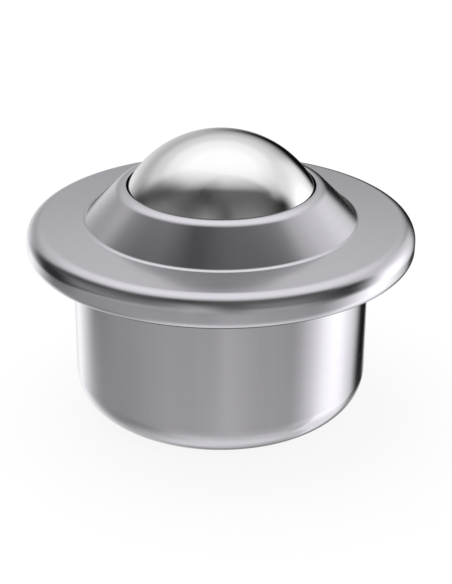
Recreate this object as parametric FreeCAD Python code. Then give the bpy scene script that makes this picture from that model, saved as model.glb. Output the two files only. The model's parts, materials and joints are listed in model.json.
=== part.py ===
import FreeCAD, Part
import math
import os

# Ball transfer unit: a large steel ball that turns freely on a bowl of small support balls,
# held in a drawn sheet-steel cup by a pressed cap whose rim is rolled under the cup's flange.
# Millimetres. Z points up, and the origin is the centre of the flat base of the cup.

# Driving dimensions, balls
ball_diameter = 25.4
support_ball_diameter = 3.0
running_gap = 0.02
support_ball_gap = 0.08
support_ball_rows = 6
single_ball_rows = 2

# Driving dimensions, sheet metal
cup_sheet = 1.0
bowl_sheet = 0.75
cap_sheet = 1.0
bowl_fit_gap = 0.01

# Driving dimensions, room under the bowl and straight neck above the ball's equator
bowl_base_gap = 3.31
bowl_neck_height = 0.64

# Driving dimensions, cup
cup_corner_radius = 4.4
cup_flange_bend = 1.0
bowl_flange_bend = 0.5

# Driving dimensions, cap
flange_reach = 5.3
flange_slope_angle = 1.4
rim_top_bend = 1.85
rim_bottom_bend = 1.05
hem_length = 3.8
cone_angle = 45.5
cone_foot_bend = 1.0
lip_crest_angle = 59.3
lip_crest_clearance = 0.325
lip_bend = 1.7
lip_gap = 0.18

# Driving dimensions, retaining ring and felt wiper
ring_ball_clearance = 0.25
ring_fit_gap = 0.02
ring_row_gap = 0.05
felt_seat_drop = 4.15
felt_clearance = 0.3
felt_cap_gap = 0.05

# Length below which two arcs of a section are taken as meeting
shortest_edge = 1e-6

# Radii that follow from the inside out
ball_radius = ball_diameter / 2
support_ball_radius = support_ball_diameter / 2
support_orbit_radius = ball_radius + running_gap + support_ball_radius
race_radius = support_orbit_radius + support_ball_radius + running_gap
bowl_radius = race_radius + bowl_sheet
cup_inner_radius = bowl_radius + bowl_fit_gap
cup_radius = cup_inner_radius + cup_sheet
flange_radius = cup_radius + flange_reach

# Heights of the ball and of the rim, where cap, bowl flange, cup flange and hem lie face to face
ball_centre_height = cup_sheet + bowl_base_gap + bowl_radius
cup_flange_top = ball_centre_height + bowl_neck_height
bowl_flange_top = cup_flange_top + bowl_sheet
hem_top = cup_flange_top - cup_sheet
seat_height = hem_top - cap_sheet
rim_inner_radius = flange_radius - rim_top_bend
flange_slope = math.tan(math.radians(flange_slope_angle))
flange_sheet_drop = cap_sheet / math.cos(math.radians(flange_slope_angle))
cap_rim_height = bowl_flange_top + flange_sheet_drop - flange_slope * rim_top_bend

# Crest of the cap's lip, seen at an angle from the ball's upright axis
lip_crest_distance = ball_radius + lip_crest_clearance
lip_crest_radius = lip_crest_distance * math.sin(math.radians(lip_crest_angle))
crest_height = ball_centre_height + lip_crest_distance * math.cos(math.radians(lip_crest_angle))
crest_corner_radius = lip_crest_radius + lip_bend * math.tan(math.radians(cone_angle / 2))

# Foot of the cone, where its line meets the line of the gently rising flange
cone_slope = math.tan(math.radians(cone_angle))
cone_sheet_drop = cap_sheet / math.cos(math.radians(cone_angle))
crest_above_flange = crest_height - cap_rim_height - flange_slope * (flange_radius - crest_corner_radius)
foot_radius = crest_corner_radius + crest_above_flange / (cone_slope - flange_slope)
foot_height = cap_rim_height + flange_slope * (flange_radius - foot_radius)
felt_seat_height = crest_height - felt_seat_drop


# A point of a turned section, at a radius from the ball's upright axis
def section_point(radius, height):
    return FreeCAD.Vector(radius, 0, height)


# Unit vector from one point of a section to the next
def direction(start, end):
    step = end - start
    return step / step.Length


# Face from a closed list of corners (radius, height, rounding)
def rounded_face(corners):
    points = [section_point(radius, height) for radius, height, rounding in corners]
    starts = []
    ends = []
    middles = []
    for index, (radius, height, rounding) in enumerate(corners):
        corner = points[index]
        if rounding == 0:
            starts.append(corner)
            ends.append(corner)
            middles.append(None)
            continue
        back = direction(corner, points[index - 1])
        ahead = direction(corner, points[(index + 1) % len(points)])
        half_angle = back.getAngle(ahead) / 2
        reach = rounding / math.tan(half_angle)
        bisector = (back + ahead) / (back + ahead).Length
        centre = corner + bisector * (rounding / math.sin(half_angle))
        starts.append(corner + back * reach)
        ends.append(corner + ahead * reach)
        middles.append(centre - bisector * rounding)
    edges = []
    for index in range(len(corners)):
        if middles[index]:
            edges.append(Part.Arc(starts[index], middles[index], ends[index]).toShape())
        following = starts[(index + 1) % len(corners)]
        if (following - ends[index]).Length > shortest_edge:
            edges.append(Part.LineSegment(ends[index], following).toShape())
    return Part.Face(Part.Wire(edges))


# Line beside a bent path, at a distance to its left, with the bends kept concentric
def beside(path, distance):
    points = [section_point(radius, height) for radius, height, bend in path]
    steps = [direction(a, b) for a, b in zip(points, points[1:])]
    lefts = [FreeCAD.Vector(-step.z, 0, step.x) for step in steps]
    line = []
    for index, (radius, height, bend) in enumerate(path):
        before = lefts[max(index - 1, 0)]
        after = lefts[min(index, len(lefts) - 1)]
        move = (before + after) * (distance / (1 + before.dot(after)))
        turns_left = before.cross(after).y < 0
        bend_beside = bend - distance if turns_left else bend + distance
        line.append((radius + move.x, height + move.z, bend_beside if bend else 0))
    return line


# Bent sheet: the path is one face of the sheet, and the other lies to its left
def sheet_face(path, thickness):
    return rounded_face(path + beside(path, thickness)[::-1])


# Full turn of a section about the upright axis
def turned(face):
    return face.revolve(section_point(0, 0), FreeCAD.Vector(0, 0, 1), 360)


# Ball about a point on or off the upright axis
def ball(radius, centre):
    return Part.makeSphere(radius, centre)


# Drawn cup: flat base, rounded corner, straight wall and a flange under the cap's rim
def make_housing_cup():
    outside = [
        (0, 0, 0),
        (cup_radius, 0, cup_corner_radius),
        (cup_radius, hem_top, cup_flange_bend),
        (rim_inner_radius, hem_top, 0),
    ]
    return turned(sheet_face(outside, cup_sheet))


# Hardened race: a hemisphere with a short straight neck and a flange on the cup's flange
def make_race_bowl():
    centre = ball_centre_height
    inner_bend = bowl_flange_bend + bowl_sheet
    outer = quarter_arc(bowl_radius)
    inner = quarter_arc(race_radius)
    neck = [
        (race_radius, centre, 0),
        (bowl_radius, centre, 0),
        (bowl_radius, cup_flange_top, bowl_flange_bend),
        (rim_inner_radius, cup_flange_top, 0),
        (rim_inner_radius, bowl_flange_top, 0),
        (race_radius, bowl_flange_top, inner_bend),
    ]
    shell_bottom = Part.LineSegment(
        section_point(0, centre - race_radius), section_point(0, centre - bowl_radius)
    ).toShape()
    shell_top = Part.LineSegment(
        section_point(bowl_radius, centre), section_point(race_radius, centre)
    ).toShape()
    hemisphere = Part.Face(Part.Wire([shell_bottom, outer, shell_top, inner]))
    return turned(hemisphere).fuse(turned(rounded_face(neck))).removeSplitter()


# Lower quarter of a circle about the ball's centre, from the axis to its equator
def quarter_arc(radius):
    middle = radius * math.sqrt(0.5)
    return Part.Arc(
        section_point(0, ball_centre_height - radius),
        section_point(middle, ball_centre_height - middle),
        section_point(radius, ball_centre_height),
    ).toShape()


# Pressed cap: lip round the ball, cone, flange and a rim rolled under as a hem
def make_top_cap():
    top_line = [
        (lip_crest_radius - lip_bend, crest_height, 0),
        (crest_corner_radius, crest_height, lip_bend),
        (foot_radius, foot_height, cone_foot_bend),
        (flange_radius, cap_rim_height, rim_top_bend),
        (flange_radius, seat_height, rim_bottom_bend),
        (flange_radius - hem_length, seat_height, 0),
    ]
    cap = turned(sheet_face(top_line, -cap_sheet))
    opening = ball(ball_radius + lip_gap, section_point(0, ball_centre_height))
    return cap.cut(opening)


# Height of the underside of the cap's cone at a radius
def cone_underside(radius):
    return foot_height + (foot_radius - radius) * cone_slope - cone_sheet_drop


# Radius of the underside of the cap's cone at a height
def cone_underside_radius(height):
    return foot_radius + (foot_height - cone_sheet_drop - height) / cone_slope


# Polar angle between neighbouring rows of support balls, seen from the ball's centre
def row_pitch():
    contact = (support_ball_radius + support_ball_gap / 2) / support_orbit_radius
    return math.asin(2 * contact)


# Centre height of a row of support balls, counted from the lowest ball
def row_height(row):
    return ball_centre_height - support_orbit_radius * math.cos(row * row_pitch())


# Centres of the balls in a row, each row as full as it goes
def row_centres(row):
    if row == 0:
        return [section_point(0, row_height(0))]
    ring_radius = support_orbit_radius * math.sin(row * row_pitch())
    spacing = 2 * math.asin((support_ball_radius + support_ball_gap / 4) / ring_radius)
    count = int(2 * math.pi / spacing)
    centres = []
    for index in range(count):
        angle = 2 * math.pi * index / count
        x = ring_radius * math.cos(angle)
        y = ring_radius * math.sin(angle)
        centres.append(FreeCAD.Vector(x, y, row_height(row)))
    return centres


# Inside of the race less a fit gap: a ball shape with a straight neck above its equator
def race_plug(gap):
    radius = race_radius - gap
    equator = section_point(0, ball_centre_height)
    return ball(radius, equator).fuse(Part.makeCylinder(radius, radius, equator))


# Ring in the neck of the bowl that keeps the support balls in and carries the felt
def make_retaining_ring():
    inner = ball_radius + ring_ball_clearance
    outer = race_radius - ring_fit_gap
    bottom = row_height(support_ball_rows) + support_ball_radius + ring_row_gap
    top = felt_seat_height
    shoulder = cone_underside(outer) - ring_fit_gap
    shelf = cone_underside_radius(top + ring_fit_gap)
    section = [
        (inner, bottom, 0),
        (outer, bottom, 0),
        (outer, shoulder, 0),
        (shelf, top, 0),
        (inner, top, 0),
    ]
    return turned(rounded_face(section)).common(race_plug(ring_fit_gap))


# Felt wiper that fills the corner between the ball, the ring and the cap's cone
def make_felt_wiper():
    bottom = felt_seat_height
    outer = cone_underside_radius(bottom + felt_cap_gap)
    top = cone_underside(lip_crest_radius) - felt_cap_gap
    section = [
        (lip_crest_radius, bottom, 0),
        (outer, bottom, 0),
        (lip_crest_radius, top, 0),
    ]
    clear_ball = ball(ball_radius + felt_clearance, section_point(0, ball_centre_height))
    return turned(rounded_face(section)).cut(clear_ball)


# The load ball, which stands proud of the cap
def make_load_ball():
    return ball(ball_radius, section_point(0, ball_centre_height))


# Inner rows of support balls are nodes of their own, and each outer row is one group
def make_support_balls():
    nodes = {}
    for row in range(support_ball_rows + 1):
        balls = [ball(support_ball_radius, centre) for centre in row_centres(row)]
        if row > single_ball_rows:
            nodes[f"support_balls_row_{row}"] = Part.makeCompound(balls)
            continue
        for index, single in enumerate(balls):
            nodes[f"support_ball_{row}_{index + 1:02d}"] = single
    return nodes


def main():
    nodes = {
        "housing_cup": make_housing_cup(),
        "race_bowl": make_race_bowl(),
        "retaining_ring": make_retaining_ring(),
        "felt_wiper": make_felt_wiper(),
        "top_cap": make_top_cap(),
        "load_ball": make_load_ball(),
    }
    nodes.update(make_support_balls())
    os.makedirs("parts", exist_ok=True)
    for name, shape in nodes.items():
        shape.exportStep(f"parts/{name}.step")
    print(len(nodes), "nodes, cup radius", round(cup_radius, 2), "flange radius", flange_radius)


main()
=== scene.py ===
import json
import math

import bmesh
import bpy
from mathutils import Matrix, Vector


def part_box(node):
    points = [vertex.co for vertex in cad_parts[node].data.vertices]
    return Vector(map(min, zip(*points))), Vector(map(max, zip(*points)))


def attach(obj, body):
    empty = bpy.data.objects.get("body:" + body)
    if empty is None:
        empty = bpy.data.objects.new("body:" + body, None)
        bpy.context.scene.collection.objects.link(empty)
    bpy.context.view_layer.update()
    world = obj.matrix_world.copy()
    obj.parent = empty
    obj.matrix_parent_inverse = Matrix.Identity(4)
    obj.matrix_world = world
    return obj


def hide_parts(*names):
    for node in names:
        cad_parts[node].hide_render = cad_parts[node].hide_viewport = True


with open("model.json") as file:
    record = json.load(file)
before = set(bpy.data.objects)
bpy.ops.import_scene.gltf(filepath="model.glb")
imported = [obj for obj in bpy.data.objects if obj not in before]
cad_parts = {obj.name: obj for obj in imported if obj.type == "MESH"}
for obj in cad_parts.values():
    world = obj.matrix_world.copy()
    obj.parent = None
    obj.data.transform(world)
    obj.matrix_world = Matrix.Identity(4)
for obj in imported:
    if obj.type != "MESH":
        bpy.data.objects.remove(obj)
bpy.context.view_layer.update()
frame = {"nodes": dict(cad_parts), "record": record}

mm = 0.001


def nodeSize(node):  # lowest and highest corner of a node, in millimetres
    low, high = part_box(node)
    return Vector(low) / mm, Vector(high) / mm


ballLow, ballHigh = nodeSize("load_ball")
capLow, capHigh = nodeSize("top_cap")
cupLow, cupHigh = nodeSize("housing_cup")
ballRadius = (ballHigh.z - ballLow.z) / 2
ballMiddle = Vector((0, 0, ballHigh.z - ballRadius))
print("frame loaded, ball radius", round(ballRadius, 2), "mm")


# Mesh tools

turning = {  # millimetres and degrees
    "stepsRound": 192,
    "bendStep": 3.0,
    "mergeDistance": 0.0005,
    "sharpAngle": 30.0,
    "edgeSteps": 3,
}


def extendTo(mesh, tip, place):
    following = bmesh.ops.extrude_vert_indiv(mesh, verts=[tip])["verts"][0]
    following.co = place
    return following


def drawBentLine(mesh, corners):  # corners are (radius, height, bend), and each bend is an arc
    points = [Vector((radius, 0, height)) for radius, height, bend in corners]
    tip = mesh.verts.new(points[0])
    for index in range(1, len(points) - 1):
        corner = points[index]
        bend = corners[index][2]
        arriving = (corner - points[index - 1]).normalized()
        leaving = (points[index + 1] - corner).normalized()
        turn = arriving.angle(leaving)
        axis = arriving.cross(leaving).normalized()
        tip = extendTo(mesh, tip, corner - arriving * bend * math.tan(turn / 2))
        centre = tip.co + axis.cross(arriving) * bend
        steps = max(3, round(math.degrees(turn) / turning["bendStep"]))
        arc = bmesh.ops.spin(mesh, geom=[tip], cent=centre, axis=axis, angle=turn, steps=steps)
        tip = [part for part in arc["geom_last"] if isinstance(part, bmesh.types.BMVert)][0]
    extendTo(mesh, tip, points[-1])


def spinRound(mesh):  # full turn of all that is drawn so far
    bmesh.ops.spin(
        mesh, geom=mesh.verts[:] + mesh.edges[:], cent=(0, 0, 0), axis=(0, 0, 1),
        angle=math.tau, steps=turning["stepsRound"], use_merge=True,
    )
    bmesh.ops.remove_doubles(mesh, verts=mesh.verts[:], dist=turning["mergeDistance"])
    bmesh.ops.recalc_face_normals(mesh, faces=mesh.faces[:])


def thicken(mesh, sheet, outside):  # the drawn face is the outer one, the sheet grows behind it
    middle = min(mesh.faces, key=lambda face: face.calc_center_median().xy.length)
    if middle.normal.dot(outside) < 0:
        bmesh.ops.reverse_faces(mesh, faces=mesh.faces[:])
    bmesh.ops.solidify(mesh, geom=mesh.faces[:], thickness=sheet)


def breakSharpEdges(mesh, width):
    limit = math.radians(turning["sharpAngle"])
    sharp = [edge for edge in mesh.edges if edge.is_manifold and edge.calc_face_angle() > limit]
    bmesh.ops.bevel(
        mesh, geom=sharp, offset=width, offset_type="OFFSET", affect="EDGES",
        segments=turning["edgeSteps"], profile=0.5, material=-1,
    )


def finishPiece(mesh, name, body, node, material):
    bmesh.ops.scale(mesh, vec=(mm, mm, mm), verts=mesh.verts[:])
    for face in mesh.faces:
        face.smooth = True
    data = bpy.data.meshes.new(name)
    mesh.to_mesh(data)
    mesh.free()
    data.materials.append(material)
    piece = bpy.data.objects.new(name, data)
    bpy.context.scene.collection.objects.link(piece)
    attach(piece, body)
    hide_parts(node)
    print(name, "made,", len(data.polygons), "faces")


# Shader tools

def newGroup(name, inputs, outputs, kind="Float"):  # inputs are numbers, kind is the first output's
    group = bpy.data.node_groups.new(name, "ShaderNodeTree")
    for label in inputs:
        group.interface.new_socket(name=label, in_out="INPUT", socket_type="NodeSocketFloat")
    for label in outputs:
        group.interface.new_socket(name=label, in_out="OUTPUT", socket_type="NodeSocket" + kind)
        kind = "Float"
    return group, group.nodes.new("NodeGroupInput"), group.nodes.new("NodeGroupOutput")


def addNode(tree, kind, **settings):
    node = tree.nodes.new(kind)
    for key, value in settings.items():
        setattr(node, key, value)
    return node


def feed(tree, node, **sources):  # sockets by name or as in0, in1, from a socket or a value
    for label, source in sources.items():
        socket = node.inputs[label] if label in node.inputs else node.inputs[int(label[-1])]
        if isinstance(source, bpy.types.NodeSocket):
            tree.links.new(source, socket)
        else:
            socket.default_value = source
    return node


def calculate(tree, operation, first, second=0.0, third=0.0):
    node = addNode(tree, "ShaderNodeMath", operation=operation)
    return feed(tree, node, in0=first, in1=second, in2=third).outputs[0]


def spread(tree, value, low, high, toLow=0.0, toHigh=1.0):  # smooth step between two limits
    node = addNode(tree, "ShaderNodeMapRange", interpolation_type="SMOOTHSTEP")
    feed(tree, node, Value=value, **{"From Min": low, "From Max": high})
    return feed(tree, node, **{"To Min": toLow, "To Max": toHigh}).outputs["Result"]


def noise(tree, vector, scale, detail, roughness):
    node = addNode(tree, "ShaderNodeTexNoise")
    feed(tree, node, Vector=vector, Scale=scale, Detail=detail, Roughness=roughness)
    return node.outputs["Fac"]


def stretch(tree, vector, turn, scale):  # turned, then drawn out along the larger scales
    node = addNode(tree, "ShaderNodeMapping", vector_type="TEXTURE")
    return feed(tree, node, Vector=vector, Rotation=turn, Scale=scale).outputs["Vector"]


def blend(tree, factor, first, second):
    node = addNode(tree, "ShaderNodeMix")
    return feed(tree, node, Factor=factor, in2=first, in3=second).outputs["Result"]


def makeRoundAxes():  # a place told as a way round, a radius and a height, in metres
    group, _, end = newGroup("roundAxes", [], ["Around", "Radius", "Height"], "Vector")
    place = addNode(group, "ShaderNodeTexCoord").outputs["Object"]
    parts = feed(group, addNode(group, "ShaderNodeSeparateXYZ"), Vector=place).outputs
    flat = feed(group, addNode(group, "ShaderNodeCombineXYZ"), X=parts["X"], Y=parts["Y"])
    length = addNode(group, "ShaderNodeVectorMath", operation="LENGTH")
    feed(group, length, in0=flat.outputs[0])
    unit = addNode(group, "ShaderNodeVectorMath", operation="NORMALIZE")
    feed(group, unit, in0=flat.outputs[0])
    feed(group, end, Around=unit.outputs["Vector"], Radius=length.outputs["Value"])
    feed(group, end, Height=parts["Z"])


pressMarks = {  # detail and roughness of the noise
    "pulled": (3.0, 0.6),
    "rings": (2.0, 0.5),
}


def makeDrawLines():  # faint lines that pressing leaves, along the pull or round the axis
    group, start, end = newGroup("drawLines", ["Across", "Round", "Amount"], ["Lines"])
    axes = addNode(group, "ShaderNodeGroup", node_tree=bpy.data.node_groups["roundAxes"])
    turned = addNode(group, "ShaderNodeVectorMath", operation="SCALE")
    feed(group, turned, in0=axes.outputs["Around"], Scale=start.outputs["Across"])
    pulled = noise(group, turned.outputs["Vector"], 1.0, *pressMarks["pulled"])
    ringPlace = addNode(group, "ShaderNodeCombineXYZ")
    feed(group, ringPlace, X=axes.outputs["Radius"], Z=axes.outputs["Height"])
    rings = noise(group, ringPlace.outputs[0], start.outputs["Round"], *pressMarks["rings"])
    feed(group, end, Lines=blend(group, start.outputs["Amount"], pulled, rings))


fineWear = {
    "hairTurn": (0.5, 0.3, 0.8),
    "hairStretch": (1.0, 14.0, 5.0),
    "hairScale": 4.0,  # times the scale of the specks
    "hairNoise": (3.0, 0.6),  # detail and roughness
    "hairLimits": (0.62, 0.78),
    "smearScale": 140.0,
    "smearNoise": (4.0, 0.55),
}


def makeFineWear():  # hair scratches, specks and soft handling marks
    labels = ["Scratches", "Specks", "Smears"]
    group, start, end = newGroup("fineWear", ["Scale", "Specks", "Share"], labels)
    place = addNode(group, "ShaderNodeTexCoord").outputs["Object"]
    strands = stretch(group, place, fineWear["hairTurn"], fineWear["hairStretch"])
    scale = calculate(group, "MULTIPLY", start.outputs["Scale"], fineWear["hairScale"])
    hairs = noise(group, strands, scale, *fineWear["hairNoise"])
    scratches = spread(group, hairs, *fineWear["hairLimits"])
    dots = addNode(group, "ShaderNodeTexVoronoi")
    feed(group, dots, Vector=place, Scale=start.outputs["Scale"])
    specks = spread(group, dots.outputs["Distance"], 0.0, start.outputs["Specks"], 1.0, 0.0)
    lot = feed(group, addNode(group, "ShaderNodeSeparateXYZ"), Vector=dots.outputs["Color"])
    chosen = calculate(group, "LESS_THAN", lot.outputs["X"], start.outputs["Share"])
    specks = calculate(group, "MULTIPLY", specks, chosen)
    smears = noise(group, place, fineWear["smearScale"], *fineWear["smearNoise"])
    feed(group, end, Scratches=scratches, Specks=specks, Smears=smears)


def turnFrom(tree, azimuth, middle):  # how far round from the middle, in degrees either way
    return calculate(tree, "WRAP", calculate(tree, "SUBTRACT", azimuth, middle), 180.0, -180.0)


def makeSoftPatch():  # soft-edged patch of the studio, told by turn and height in degrees
    direction = ["Azimuth", "Elevation"]
    patch = ["Middle", "Half Width", "Level", "Half Height", "Lean", "Blur"]
    group, start, end = newGroup("softPatch", direction + patch, ["Mask"])
    get = start.outputs
    above = calculate(group, "SUBTRACT", get["Elevation"], get["Level"])
    middle = calculate(group, "MULTIPLY_ADD", above, get["Lean"], get["Middle"])
    turn = turnFrom(group, get["Azimuth"], middle)
    masks = []
    for distance, half in ((turn, get["Half Width"]), (above, get["Half Height"])):
        inner = calculate(group, "SUBTRACT", half, get["Blur"])
        outer = calculate(group, "ADD", half, get["Blur"])
        masks.append(spread(group, calculate(group, "ABSOLUTE", distance), inner, outer, 1.0, 0.0))
    feed(group, end, Mask=calculate(group, "MULTIPLY", *masks))


def placeGroup(tree, name, **values):
    node = addNode(tree, "ShaderNodeGroup", node_tree=bpy.data.node_groups[name])
    return feed(tree, node, **values)


for maker in (makeRoundAxes, makeDrawLines, makeFineWear, makeSoftPatch):
    maker()
print("shader groups made")


def newMaterial(name):
    material = bpy.data.materials.new(name)
    material.use_nodes = True
    tree = material.node_tree
    tree.nodes.clear()
    shader = addNode(tree, "ShaderNodeBsdfPrincipled")
    output = addNode(tree, "ShaderNodeOutputMaterial")
    tree.links.new(shader.outputs["BSDF"], output.inputs["Surface"])
    return material, tree, shader


def mixColours(tree, factor, first, second):  # 0, 6 and 7 are the factor and the two colours
    node = addNode(tree, "ShaderNodeMix", data_type="RGBA")
    for index, source in ((0, factor), (6, first), (7, second)):
        if isinstance(source, bpy.types.NodeSocket):
            tree.links.new(source, node.inputs[index])
        else:
            node.inputs[index].default_value = source
    return node.outputs[2]


anySteel = {
    "toneLimits": (0.3, 0.7),
    "scratchHeight": -0.6,
    "paintedShadeInSteel": 0.15,  # share of the tone that is left where steel shows in steel; this painted shade darkens all steel seen in a reflection, for the dark between the pieces
}


def makeSteel(name, look):
    material, tree, shader = newMaterial(name)
    shader.inputs["Metallic"].default_value = 1.0
    lines = placeGroup(tree, "drawLines", Across=look["linesAcross"], Round=look["linesRound"])
    lines = feed(tree, lines, Amount=look["linesMix"]).outputs["Lines"]
    wear = placeGroup(tree, "fineWear", Scale=look["speckScale"], Specks=look["speckSize"])
    wear = feed(tree, wear, Share=look["speckShare"]).outputs
    tone = spread(tree, lines, *anySteel["toneLimits"])
    colour = mixColours(tree, tone, (*look["shade"], 1), (*look["light"], 1))
    colour = mixColours(tree, wear["Specks"], colour, (*look["speck"], 1))
    dull = look["roughness"]
    for mark, dulling in (("Smears", "smear"), ("Scratches", "scratch"), ("Specks", "speck")):
        dull = calculate(tree, "MULTIPLY_ADD", wear[mark], look[dulling + "Dulling"], dull)
    height = calculate(tree, "MULTIPLY_ADD", wear["Scratches"], anySteel["scratchHeight"], lines)
    bump = addNode(tree, "ShaderNodeBump")
    feed(tree, bump, Height=height, Strength=look["bumpStrength"], Distance=look["bumpDepth"] * mm)
    # Painted shade: where a reflection ray meets steel, the base colour drops to a small share of
    # the light tone, standing in for the dark between the pieces.
    mirrored = addNode(tree, "ShaderNodeLightPath").outputs["Is Glossy Ray"]
    paintedShade = [part * anySteel["paintedShadeInSteel"] for part in look["light"]]
    colour = mixColours(tree, mirrored, colour, (*paintedShade, 1))
    feed(tree, shader, Roughness=dull, Normal=bump.outputs["Normal"], **{"Base Color": colour})
    return material


capLook = {
    "light": (0.585, 0.572, 0.610),
    "shade": (0.570, 0.557, 0.595),
    "speck": (0.50, 0.49, 0.52),
    "linesAcross": 26.0,
    "linesRound": 1300.0,
    "linesMix": 0.5,
    "speckScale": 1500.0,
    "speckSize": 0.10,
    "speckShare": 0.25,
    "speckDulling": 0.15,
    "roughness": 0.14,
    "smearDulling": 0.05,
    "scratchDulling": 0.04,
    "bumpStrength": 0.05,
    "bumpDepth": 0.001,
}
cupLook = {
    "light": (0.585, 0.572, 0.610),
    "shade": (0.570, 0.557, 0.595),
    "speck": (0.50, 0.49, 0.52),
    "linesAcross": 34.0,
    "linesRound": 900.0,
    "linesMix": 0.4,
    "speckScale": 1300.0,
    "speckSize": 0.10,
    "speckShare": 0.25,
    "speckDulling": 0.15,
    "roughness": 0.09,
    "smearDulling": 0.05,
    "scratchDulling": 0.04,
    "bumpStrength": 0.05,
    "bumpDepth": 0.001,
}
ballLook = {
    "light": (0.805, 0.800, 0.800),
    "shade": (0.790, 0.786, 0.786),
    "speck": (0.78, 0.78, 0.78),
    "linesAcross": 3.0,
    "linesRound": 90.0,
    "linesMix": 0.5,
    "speckScale": 1200.0,
    "speckSize": 0.08,
    "speckShare": 0.4,
    "speckDulling": 0.5,
    "roughness": 0.03,
    "smearDulling": 0.015,
    "scratchDulling": 0.05,
    "bumpStrength": 0.02,
    "bumpDepth": 0.001,
}
raceLook = {
    "light": (0.50, 0.49, 0.485),
    "shade": (0.40, 0.39, 0.385),
    "speck": (0.30, 0.29, 0.28),
    "linesAcross": 9.0,
    "linesRound": 4200.0,
    "linesMix": 0.9,
    "speckScale": 1100.0,
    "speckSize": 0.12,
    "speckShare": 0.4,
    "speckDulling": 0.2,
    "roughness": 0.20,
    "smearDulling": 0.10,
    "scratchDulling": 0.12,
    "bumpStrength": 0.30,
    "bumpDepth": 0.006,
}
ringLook = {
    "light": (0.54, 0.53, 0.52),
    "shade": (0.43, 0.42, 0.415),
    "speck": (0.33, 0.32, 0.31),
    "linesAcross": 6.0,
    "linesRound": 7000.0,
    "linesMix": 0.95,
    "speckScale": 900.0,
    "speckSize": 0.10,
    "speckShare": 0.3,
    "speckDulling": 0.2,
    "roughness": 0.26,
    "smearDulling": 0.10,
    "scratchDulling": 0.10,
    "bumpStrength": 0.45,
    "bumpDepth": 0.010,
}
supportBallLook = {
    "light": (0.70, 0.695, 0.69),
    "shade": (0.64, 0.635, 0.63),
    "speck": (0.42, 0.41, 0.40),
    "linesAcross": 30.0,
    "linesRound": 800.0,
    "linesMix": 0.5,
    "speckScale": 2400.0,
    "speckSize": 0.08,
    "speckShare": 0.1,
    "speckDulling": 0.3,
    "roughness": 0.07,
    "smearDulling": 0.05,
    "scratchDulling": 0.08,
    "bumpStrength": 0.08,
    "bumpDepth": 0.001,
}
feltLook = {
    "dark": (0.045, 0.042, 0.040, 1),
    "pale": (0.135, 0.125, 0.115, 1),
    "paleLimits": (0.12, 0.42),
    "fibreTurn": (0.3, 0.9, 0.4),
    "fibreStretch": (1.0, 6.0, 2.0),
    "fibreScale": 2600.0,
    "fibreNoise": (4.0, 0.65),
    "tuftScale": 700.0,
    "tuftNoise": (3.0, 0.6),
    "tuftLimits": (0.3, 0.7),
    "roughness": (0.75, 0.95),
    "sheen": 0.3,
    "bumpStrength": 0.8,
    "bumpDepth": 0.08,
}


def makeOiledFelt():
    material, tree, shader = newMaterial("oiledFelt")
    place = addNode(tree, "ShaderNodeTexCoord").outputs["Object"]
    strands = stretch(tree, place, feltLook["fibreTurn"], feltLook["fibreStretch"])
    fibres = noise(tree, strands, feltLook["fibreScale"], *feltLook["fibreNoise"])
    tufts = noise(tree, place, feltLook["tuftScale"], *feltLook["tuftNoise"])
    mat = calculate(tree, "MULTIPLY", fibres, tufts)
    pale = spread(tree, mat, *feltLook["paleLimits"])
    colour = mixColours(tree, pale, feltLook["dark"], feltLook["pale"])
    dull = spread(tree, tufts, *feltLook["tuftLimits"], *feltLook["roughness"])
    bump = addNode(tree, "ShaderNodeBump")
    feed(tree, bump, Height=mat, Strength=feltLook["bumpStrength"])
    feed(tree, bump, Distance=feltLook["bumpDepth"] * mm)
    feed(tree, shader, Roughness=dull, Normal=bump.outputs["Normal"], **{"Base Color": colour})
    shader.inputs["Sheen Weight"].default_value = feltLook["sheen"]
    return material


pressedSteel = makeSteel("pressedSteel", capLook)
drawnSteel = makeSteel("drawnSteel", cupLook)
lappedSteel = makeSteel("lappedBallSteel", ballLook)
groundRace = makeSteel("groundRaceSteel", raceLook)
turnedSteel = makeSteel("turnedRingSteel", ringLook)
supportSteel = makeSteel("supportBallSteel", supportBallLook)
oiledFelt = makeOiledFelt()
print("materials made")


# Top cap: lip round the ball, cone, flange and rolled rim, pressed from one sheet

capShape = {  # millimetres and degrees
    "sheet": 1.0,
    "lipAngle": 59.3,
    "lipClearance": 0.325,
    "lipBend": 1.7,
    "lipGap": 0.18,
    "coneAngle": 45.5,
    "footBend": 0.7,
    "flangeSlope": 1.4,
    "rimTopBend": 1.85,
    "rimBottomBend": 1.05,
    "hemLength": 3.8,
    "edgeBreak": 0.10,
}


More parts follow.
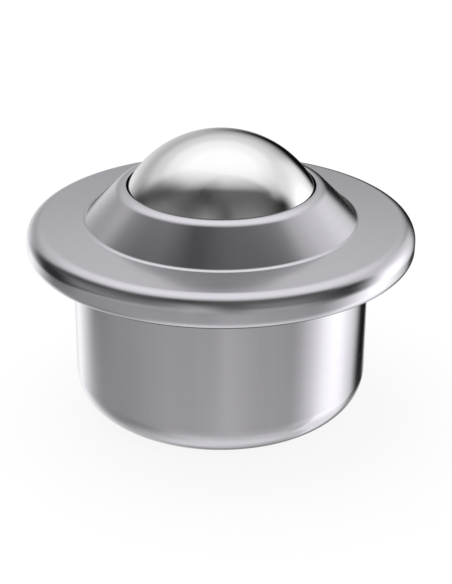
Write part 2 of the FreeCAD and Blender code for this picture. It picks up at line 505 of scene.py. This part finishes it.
def makeTopCap():
    lipAngle = math.radians(capShape["lipAngle"])
    coneAngle = math.radians(capShape["coneAngle"])
    slopeAngle = math.radians(capShape["flangeSlope"])
    crestRadius = (ballRadius + capShape["lipClearance"]) * math.sin(lipAngle)
    crestHeight = capHigh.z
    flangeRadius = capHigh.x
    seatHeight = capLow.z
    coneSlope = math.tan(coneAngle)
    flangeSlope = math.tan(slopeAngle)
    sheetDrop = capShape["sheet"] / math.cos(slopeAngle)
    bowlFlangeTop = nodeSize("race_bowl")[1].z
    rimHeight = bowlFlangeTop + sheetDrop - flangeSlope * capShape["rimTopBend"]
    cornerRadius = crestRadius + capShape["lipBend"] * math.tan(coneAngle / 2)
    rise = crestHeight - rimHeight - flangeSlope * (flangeRadius - cornerRadius)
    footRadius = cornerRadius + rise / (coneSlope - flangeSlope)
    footHeight = rimHeight + flangeSlope * (flangeRadius - footRadius)
    gapRadius = ballRadius + capShape["lipGap"]
    openingRadius = math.sqrt(gapRadius**2 - (crestHeight - ballMiddle.z) ** 2)
    mesh = bmesh.new()
    drawBentLine(mesh, [
        (openingRadius, crestHeight, 0),
        (cornerRadius, crestHeight, capShape["lipBend"]),
        (footRadius, footHeight, capShape["footBend"]),
        (flangeRadius, rimHeight, capShape["rimTopBend"]),
        (flangeRadius, seatHeight, capShape["rimBottomBend"]),
        (flangeRadius - capShape["hemLength"], seatHeight, 0),
    ])
    spinRound(mesh)
    thicken(mesh, capShape["sheet"], Vector((0, 0, 1)))
    for vertex in mesh.verts:  # the opening follows the ball at an even gap
        reach = vertex.co - ballMiddle
        if reach.length < gapRadius:
            vertex.co = ballMiddle + reach.normalized() * gapRadius
    breakSharpEdges(mesh, capShape["edgeBreak"])
    finishPiece(mesh, "pressedTopCap", "housing", "top_cap", pressedSteel)


# Housing cup: drawn from one disc, with a flange under the cap's rim

cupShape = {  # millimetres
    "sheet": 1.0,
    "cornerRadius": 4.4,
    "flangeBend": 1.0,
    "edgeBreak": 0.08,
}


def makeHousingCup():
    wallRadius = frame["record"]["mounts"][0]["dims"]["r_mm"]  # the mount is the wall's outside
    flangeUnderside = cupHigh.z - cupShape["sheet"]
    mesh = bmesh.new()
    drawBentLine(mesh, [
        (0, cupLow.z, 0),
        (wallRadius, cupLow.z, cupShape["cornerRadius"]),
        (wallRadius, flangeUnderside, cupShape["flangeBend"]),
        (cupHigh.x, flangeUnderside, 0),
    ])
    spinRound(mesh)
    thicken(mesh, cupShape["sheet"], Vector((0, 0, -1)))
    breakSharpEdges(mesh, cupShape["edgeBreak"])
    finishPiece(mesh, "drawnHousingCup", "housing", "housing_cup", drawnSteel)


# Load ball: a cube grid blown up to a ball, so that its faces are even all over

ballShape = {"cuts": 47}


def makeLoadBall():
    mesh = bmesh.new()
    bmesh.ops.create_cube(mesh, size=2.0)
    bmesh.ops.subdivide_edges(mesh, edges=mesh.edges[:], cuts=ballShape["cuts"], use_grid_fill=True)
    for vertex in mesh.verts:
        x, y, z = (math.tan(part * math.pi / 4) for part in vertex.co)
        vertex.co = ballMiddle + Vector((x, y, z)).normalized() * ballRadius
    finishPiece(
        mesh, "polishedLoadBall", "load_ball", "load_ball", lappedSteel
    )


makeTopCap()
makeHousingCup()
makeLoadBall()


# Inner pieces stay as packed, each with its own finish

innerFinish = {
    "race_bowl": groundRace,
    "retaining_ring": turnedSteel,
    "felt_wiper": oiledFelt,
    "top_cap": pressedSteel,
    "housing_cup": drawnSteel,
    "load_ball": lappedSteel,
}

for name, node in frame["nodes"].items():
    node.data.materials.clear()
    node.data.materials.append(innerFinish.get(name, supportSteel))
print("inner pieces dressed")


# Studio: what the steel mirrors, told by turn from the front and by height, in degrees

# Another script fitted most of these numbers to the light and dark on the photograph's steel.
# Chosen one by one: the dome, the heights of the levels, wallSpot, crestLevel, the brightness of
# blackFlag and flagFoot, and the wall's levels at 60 and 78 degrees.
studio = {
    "domeRadius": 3.0,
    "domeSteps": 5,
    # each part has its pole behind, tilt degrees up, and ends where the cosine from it is edge
    "ceiling": {"tilt": 53.3, "edge": 0.703, "blur": 0.237},
    "ceilingFade": 0.81,
    "ceilingLevels": [  # height in degrees and brightness there, behind and above
        (-25, 0.32), (-5, 0.42), (15, 0.52), (30, 0.80), (45, 1.10), (60, 1.24), (75, 1.25),
        (90, 1.23),
    ],
    "wall": {"tilt": 62.7, "edge": -0.214, "blur": 0.043},
    "wallSides": {"middle": -13.7, "halfWidth": 102.7, "blur": 7.3},
    "wallLevels": [  # the same for the dim wall in front
        (-10, 0.16), (10, 0.31), (30, 0.22), (45, 0.16), (60, 0.15), (78, 0.18),
    ],
    "groundLevels": [  # the same for the ground all round
        (-90, 1.00), (-75, 1.01), (-60, 0.84), (-45, 0.61), (-33, 0.54), (-20, 0.47),
        (-5, 0.52), (12, 0.48), (30, 0.69),
    ],
    "crestFoot": {"tilt": 50.9, "edge": 0.420, "blur": 0.055},
    "crestTop": {"tilt": 50.9, "edge": 0.530, "blur": 0.055},
    "crestSides": {"middle": -18.0, "halfWidth": 97.0, "blur": 8.0},
    "crestLevel": 0.155,
    "patches": {  # middle, half width, level, half height, lean, blur, brightness
        "leftFrontTone": (-101.6, 44.7, -44.4, 14.7, -0.38, 25.0, 0.32),
        "frontGlow": (49.8, 33.1, 25.9, 12.4, -1.24, 22.4, 0.32),
        "frontSeam": (3.0, 9.9, 16.7, 42.4, 0.08, 8.6, 0.13),
        "wallKnot": (-32.8, 26.6, 56.1, 11.3, 0.20, 24.0, 0.07),
        "wallSpot": (-36.0, 14.0, 62.5, 4.0, 0.0, 5.0, 0.08),
        "leftLight": (-147.4, 16.2, -25.5, 22.4, -0.03, 25.0, 1.44),
        "leftGround": (176.2, 46.4, -63.3, 12.5, 1.04, 25.0, 0.52),
        "frontGround": (-1.5, 6.6, -10.6, 46.2, -0.36, 25.0, 0.73),
        "rightScreen": (127.5, 26.0, 6.6, 34.3, -0.53, 6.1, 0.90),
        "rightGround": (131.3, 47.2, -44.5, 13.0, -0.20, 2.5, 1.17),
        "backGround": (162.8, 19.6, -47.2, 17.4, -0.82, 10.9, 0.32),
        "rightWindow": (100.9, 21.4, -10.3, 24.2, 0.24, 20.1, 2.40),
        "blackFlag": (162.1, 15.3, -5.3, 15.7, 0.20, 8.2, 0.005),
        "flagFoot": (150.3, 12.4, -25.6, 8.6, 1.50, 7.2, 0.005),
        "leftCurtain": (-106.2, 10.1, 22.8, 27.3, 0.75, 14.6, 0.10),
        "rightCurtain": (75.6, 18.4, 10.3, 30.2, -0.06, 21.1, 0.05),
        "rightCore": (86.7, 9.2, 28.9, 8.3, -0.01, 8.9, 0.03),
        "leftCore": (-109.0, 15.6, -3.0, 18.6, 0.05, 9.6, 0.04),
    },
}


def makeHeightRamp(tree, elevation, levels):
    ramp = addNode(tree, "ShaderNodeValToRGB")
    ramp.color_ramp.interpolation = "EASE"
    stops = ramp.color_ramp.elements
    while len(stops) < len(levels):
        stops.new(0.5)
    for stop, (height, brightness) in zip(stops, levels):
        stop.position = (height + 90) / 180
        stop.color = (brightness, brightness, brightness, 1)
    feed(tree, ramp, Fac=calculate(tree, "MULTIPLY_ADD", elevation, 1 / 180, 0.5))
    return ramp.outputs["Color"]


def makeTiltedEdge(tree, unit, tilt, edge, blur):  # 1 on the side that lies up and backward
    towards = addNode(tree, "ShaderNodeVectorMath", operation="DOT_PRODUCT")
    lean = math.radians(tilt)
    feed(tree, towards, in0=unit, in1=(0, math.cos(lean), math.sin(lean)))
    return spread(tree, towards.outputs["Value"], edge - blur, edge + blur)


def makeSideFade(tree, azimuth, middle, halfWidth, blur):  # 1 round the middle, 0 outside
    distance = calculate(tree, "ABSOLUTE", turnFrom(tree, azimuth, middle))
    return spread(tree, distance, halfWidth - blur, halfWidth + blur, 1.0, 0.0)


def makeStudioLight():
    material = bpy.data.materials.new("studioLight")
    material.use_nodes = True
    tree = material.node_tree
    tree.nodes.clear()
    unit = addNode(tree, "ShaderNodeVectorMath", operation="NORMALIZE")
    feed(tree, unit, in0=addNode(tree, "ShaderNodeTexCoord").outputs["Object"])
    unit = unit.outputs["Vector"]
    parts = feed(tree, addNode(tree, "ShaderNodeSeparateXYZ"), Vector=unit).outputs
    forward = calculate(tree, "MULTIPLY", parts["Y"], -1.0)
    azimuth = calculate(tree, "DEGREES", calculate(tree, "ARCTAN2", parts["X"], forward))
    elevation = calculate(tree, "DEGREES", calculate(tree, "ARCSINE", parts["Z"]))
    ceiling = makeTiltedEdge(tree, unit, **studio["ceiling"])
    ceiling = calculate(tree, "POWER", ceiling, studio["ceilingFade"])
    wall = makeTiltedEdge(tree, unit, **studio["wall"])
    sides = makeSideFade(tree, azimuth, **studio["wallSides"])
    wall = calculate(tree, "MULTIPLY", wall, sides)
    ground = makeHeightRamp(tree, elevation, studio["groundLevels"])
    front = blend(tree, wall, ground, makeHeightRamp(tree, elevation, studio["wallLevels"]))
    light = blend(tree, ceiling, front, makeHeightRamp(tree, elevation, studio["ceilingLevels"]))
    foot = makeTiltedEdge(tree, unit, **studio["crestFoot"])
    top = makeTiltedEdge(tree, unit, **studio["crestTop"])
    crest = calculate(tree, "MULTIPLY", foot, calculate(tree, "SUBTRACT", 1.0, top))
    sides = makeSideFade(tree, azimuth, **studio["crestSides"])
    light = blend(tree, calculate(tree, "MULTIPLY", crest, sides), light, studio["crestLevel"])
    for middle, halfWidth, level, halfHeight, lean, blur, brightness in studio["patches"].values():
        patch = placeGroup(tree, "softPatch", Azimuth=azimuth, Elevation=elevation)
        feed(tree, patch, Middle=middle, Level=level, Lean=lean, Blur=blur)
        feed(tree, patch, **{"Half Width": halfWidth, "Half Height": halfHeight})
        light = blend(tree, patch.outputs["Mask"], light, brightness)
    glow = feed(tree, addNode(tree, "ShaderNodeEmission"), Strength=light)
    output = addNode(tree, "ShaderNodeOutputMaterial")
    tree.links.new(glow.outputs["Emission"], output.inputs["Surface"])
    material.cycles.emission_sampling = "NONE"
    return material


def addStagePiece(mesh, name, material):
    data = bpy.data.meshes.new(name)
    mesh.to_mesh(data)
    mesh.free()
    data.materials.append(material)
    piece = bpy.data.objects.new(name, data)
    bpy.context.scene.collection.objects.link(piece)
    return piece


def makeStudioDome():
    mesh = bmesh.new()
    steps, radius = studio["domeSteps"], studio["domeRadius"]
    bmesh.ops.create_icosphere(mesh, subdivisions=steps, radius=radius)
    bmesh.ops.reverse_faces(mesh, faces=mesh.faces[:])
    dome = addStagePiece(mesh, "studioDome", makeStudioLight())
    dome.visible_camera = False
    dome.visible_diffuse = False
    dome.visible_shadow = False
    dome.visible_transmission = False


# Floor: plain pale paper that keeps the soft shadow

paper = {
    "radius": 2.5,
    "edgeSteps": 96,
    "colour": (0.88, 0.88, 0.88, 1),
    "glow": 0.88,  # share of plain white in what the camera sees, the rest is the lit paper
    "roughness": 0.9,
    "grainScale": 900.0,
    "grainNoise": (3.0, 0.6),
    "bumpStrength": 0.1,
    "bumpDepth": 0.02,
}


def seenStraight(tree):  # 1 for what the camera, a mirror or glass sees
    path = addNode(tree, "ShaderNodeLightPath").outputs
    mirrored = calculate(tree, "MAXIMUM", path["Is Glossy Ray"], path["Is Transmission Ray"])
    return calculate(tree, "MAXIMUM", path["Is Camera Ray"], mirrored)


def makePaper():
    material, tree, shader = newMaterial("palePaper")
    place = addNode(tree, "ShaderNodeTexCoord").outputs["Object"]
    grain = noise(tree, place, paper["grainScale"], *paper["grainNoise"])
    bump = addNode(tree, "ShaderNodeBump")
    feed(tree, bump, Height=grain, Strength=paper["bumpStrength"])
    feed(tree, bump, Distance=paper["bumpDepth"] * mm)
    shader.inputs["Base Color"].default_value = paper["colour"]
    shader.inputs["Specular IOR Level"].default_value = 0.0
    feed(tree, shader, Roughness=paper["roughness"], Normal=bump.outputs["Normal"])
    glow = addNode(tree, "ShaderNodeEmission")
    mixed = addNode(tree, "ShaderNodeMixShader")
    tree.links.new(calculate(tree, "MULTIPLY", seenStraight(tree), paper["glow"]), mixed.inputs[0])
    tree.links.new(shader.outputs["BSDF"], mixed.inputs[1])
    tree.links.new(glow.outputs["Emission"], mixed.inputs[2])
    output = [node for node in tree.nodes if node.bl_idname == "ShaderNodeOutputMaterial"][0]
    tree.links.new(mixed.outputs[0], output.inputs["Surface"])
    return material


def makeFloor():
    mesh = bmesh.new()
    steps, radius = paper["edgeSteps"], paper["radius"]
    bmesh.ops.create_circle(mesh, cap_ends=True, segments=steps, radius=radius)
    floor = addStagePiece(mesh, "paperFloor", makePaper())
    floor.visible_glossy = False  # the dome carries the paper's tone for the steel


# Light: one broad soft lamp overhead and an even room

lighting = {
    "lampPlace": (-0.10, 0.12, 0.55),
    "lampSize": 0.5,
    "lampPower": 2.2,
    "roomLight": 0.75,
}


def makeLight():
    lamp = bpy.data.lights.new("overheadSoftbox", "AREA")
    lamp.shape = "SQUARE"
    lamp.size = lighting["lampSize"]
    lamp.energy = lighting["lampPower"]
    holder = bpy.data.objects.new("overheadSoftbox", lamp)
    bpy.context.scene.collection.objects.link(holder)
    holder.location = lighting["lampPlace"]
    towardsUnit = -Vector(lighting["lampPlace"])
    holder.rotation_euler = towardsUnit.to_track_quat("-Z", "Y").to_euler()
    holder.visible_glossy = False
    world = bpy.data.worlds.new("studioRoom")
    bpy.context.scene.world = world
    world.use_nodes = True
    tree = world.node_tree
    tree.nodes.clear()
    back = addNode(tree, "ShaderNodeBackground")
    feed(tree, back, Strength=blend(tree, seenStraight(tree), lighting["roomLight"], 1.0))
    back.inputs["Color"].default_value = (1, 1, 1, 1)
    output = addNode(tree, "ShaderNodeOutputWorld")
    tree.links.new(back.outputs["Background"], output.inputs["Surface"])


# Camera: a long lens, close by, looking down on the unit at about 25 degrees

# Its place, turn and lens were fitted by another script to the outlines in the photograph.
cameraSetup = {  # millimetres and degrees
    "place": (0.0, -162.353, 89.458),
    "turn": (64.9083, -0.2741, -0.0913),
    "lens": 91.88,
    "sensorWidth": 36.0,
    "nearest": 10.0,
}


def makeCamera():
    data = bpy.data.cameras.new("camera")
    data.lens = cameraSetup["lens"]
    data.sensor_width = cameraSetup["sensorWidth"]
    data.clip_start = cameraSetup["nearest"] * mm
    camera = bpy.data.objects.new("camera", data)
    bpy.context.scene.collection.objects.link(camera)
    camera.location = Vector(cameraSetup["place"]) * mm
    camera.rotation_euler = [math.radians(angle) for angle in cameraSetup["turn"]]
    bpy.context.scene.camera = camera


makeStudioDome()
makeFloor()
makeLight()
makeCamera()
bpy.context.scene.view_settings.view_transform = "Standard"
print("studio, light and camera made")
